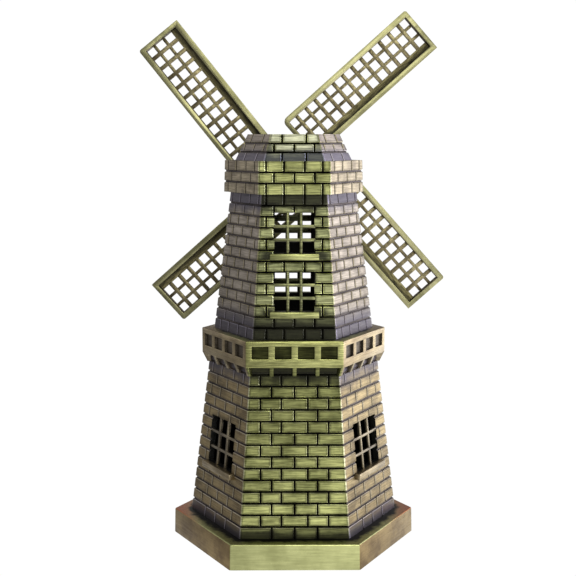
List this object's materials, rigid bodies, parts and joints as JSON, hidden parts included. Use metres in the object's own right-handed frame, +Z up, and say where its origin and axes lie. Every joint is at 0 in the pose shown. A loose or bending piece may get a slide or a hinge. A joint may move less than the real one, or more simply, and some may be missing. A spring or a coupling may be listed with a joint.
{
  "type": "souvenir windmill figurine",
  "caption": "Desk figurine of a Dutch tower windmill: hexagonal brick tower with a gallery, barred windows and a flat-topped cap, and lattice sails that spin on a windshaft at the back.",
  "frame": {"origin": "centre of the underside of the foot, on the surface that the figurine stands on", "axes": "+Z up; the windshaft runs along +Y and the sails turn on the +Y side; hexagon corners on +X and -X"},
  "size_m": [0.0982, 0.065, 0.1628],
  "materials": {
    "antique_brass": "satin",
    "antique_brass_sails": "satin",
    "antique_brass_hub": "satin",
    "zinc_plated_steel": "satin",
    "felt": "matte"
  },
  "bodies": {
    "tower": {"base_plinth": "antique_brass", "lower_tower": "antique_brass", "gallery": "antique_brass", "upper_tower": "antique_brass", "cap_band": "antique_brass", "roof": "antique_brass", "base_felt_pad": "felt", "base_screws": "zinc_plated_steel", "tower_screws": "zinc_plated_steel", "cap_screws": "zinc_plated_steel", "roof_screws": "zinc_plated_steel"},
    "sails": {"windshaft": "zinc_plated_steel", "shaft_clip": "zinc_plated_steel", "inner_washer": "zinc_plated_steel", "outer_washer": "zinc_plated_steel", "sail_hub": "antique_brass_hub", "hub_plate": "antique_brass_hub", "dome_nut": "antique_brass_hub", "sail_1": "antique_brass_sails", "sail_2": "antique_brass_sails", "sail_3": "antique_brass_sails", "sail_4": "antique_brass_sails"}
  },
  "joints": [
    {"name": "sails_spin", "type": "hinge", "parent": "tower", "child": "sails", "pos_m": [0, 0.024, 0.1133], "axis": [0, 1, 0], "continuous": true}
  ]
}
